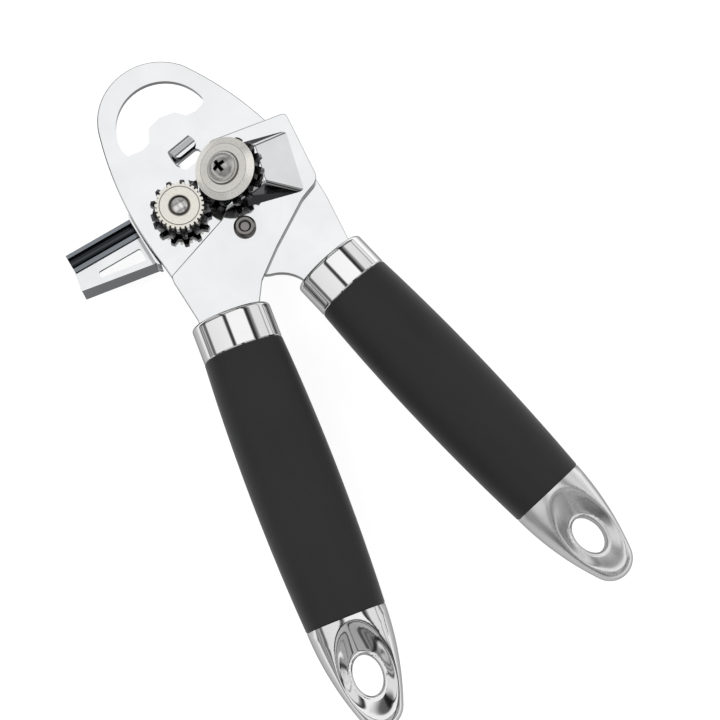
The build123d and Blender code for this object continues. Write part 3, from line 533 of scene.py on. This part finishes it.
# ---------------------------------------------------------------- studio
# Reflected brightness round the tool's long axis: (degrees from overhead towards +X, brightness).
PANELS_ACROSS = (
    (-180, 0.35), (-97, 0.45), (-92, 0.10), (-88, 0.55), (-84, 0.08), (-80, 0.55), (-76, 0.12),
    (-72, 0.60), (-66, 0.10), (-60, 0.20), (-57, 0.85), (-14, 0.92), (-11, 0.05), (-6, 0.05),
    (-4, 1.02), (31, 1.05), (33, 0.04), (38, 0.03), (44, 0.30), (48, 0.84), (71, 0.84), (74, 0.25),
    (78, 0.90), (88, 0.80), (91, 0.14), (96, 0.16), (102, 0.34), (180, 0.35),
)
# and its share towards the ends of the tool: (sine of the angle towards +Y, share).
PANELS_ALONG = (
    (-1.0, 0.45), (-0.80, 0.50), (-0.54, 0.55), (-0.50, 0.08), (-0.42, 0.06), (-0.36, 1.0),
    (0.42, 1.0), (0.50, 0.10), (0.60, 0.12), (0.66, 0.55), (1.0, 0.5),
)


def studio_world():
    """World of long overhead panels with dark gaps between them, for the chrome to reflect."""
    world = bpy.data.worlds.new("studio")
    scene.world = world
    world.use_nodes = True
    tree = world.node_tree

    def math_node(operation, *values):
        made = tree.nodes.new("ShaderNodeMath")
        made.operation = operation
        for target, value in zip(made.inputs, values):
            if isinstance(value, bpy.types.NodeSocket):
                tree.links.new(value, target)
            else:
                target.default_value = value
        return made.outputs[0]

    def grey_ramp(position, stops):
        made = tree.nodes.new("ShaderNodeValToRGB")
        while len(made.color_ramp.elements) < len(stops):
            made.color_ramp.elements.new(1.0)
        for element, (place, grey) in zip(made.color_ramp.elements, stops):
            element.position = place
            element.color = (grey, grey, grey, 1.0)
        tree.links.new(position, made.inputs["Fac"])
        return made.outputs["Color"]

    coords = tree.nodes.new("ShaderNodeTexCoord")
    split = tree.nodes.new("ShaderNodeSeparateXYZ")
    tree.links.new(coords.outputs["Generated"], split.inputs[0])
    x, y, z = split.outputs
    full_turn = 2 * math.pi
    around = math_node("ADD", math_node("DIVIDE", math_node("ARCTAN2", x, z), full_turn), 0.5)
    across = grey_ramp(around, [((angle + 180) / 360, grey) for angle, grey in PANELS_ACROSS])
    lengthwise = math_node("MULTIPLY_ADD", y, 0.5, 0.5)
    along = grey_ramp(lengthwise, [((sine + 1) / 2, grey) for sine, grey in PANELS_ALONG])
    strength = math_node("MULTIPLY", across, along)
    background = tree.nodes["Background"]
    tree.links.new(strength, background.inputs["Color"])
    background.inputs["Strength"].default_value = 1.0


def soft_light(name, place, size, power):
    """Square softbox aimed at the middle of the tool, seen by matt surfaces only."""
    data = bpy.data.lights.new(name, "AREA")
    data.size = size
    data.energy = power
    light = bpy.data.objects.new(name, data)
    light.location = place
    light.rotation_euler = (-Vector(place)).to_track_quat("-Z", "Y").to_euler()
    light.visible_glossy = False
    scene.collection.objects.link(light)


studio_world()
soft_light("key_light", (-0.5, 0.35, 0.9), 0.9, 9.0)
soft_light("fill_light", (0.7, -0.3, 0.8), 0.9, 6.0)

# pale floor just under the lowest edge of the key, so wide that its rim stays out of view
FLOOR_SIZE = 40.0
FLOOR_GAP = 0.0003
half = FLOOR_SIZE / 2
corners = ((-half, -half), (half, -half), (half, half), (-half, half))
floor_mesh = bpy.data.meshes.new("floor")
floor_mesh.from_pydata([(x, y, -FLOOR_GAP) for x, y in corners], [], [(0, 1, 2, 3)])
floor = bpy.data.objects.new("floor", floor_mesh)
scene.collection.objects.link(floor)
paper = Shader("floor_paper", (0.22, 0.22, 0.22), 0.0, 0.9, Specular_IOR_Level=0.1,
               Emission_Color=(1.0, 1.0, 1.0, 1.0), Emission_Strength=0.86)
paper.bumps((paper.noise(0.8, 3.0), 0.004))
floor_mesh.materials.append(paper.material)
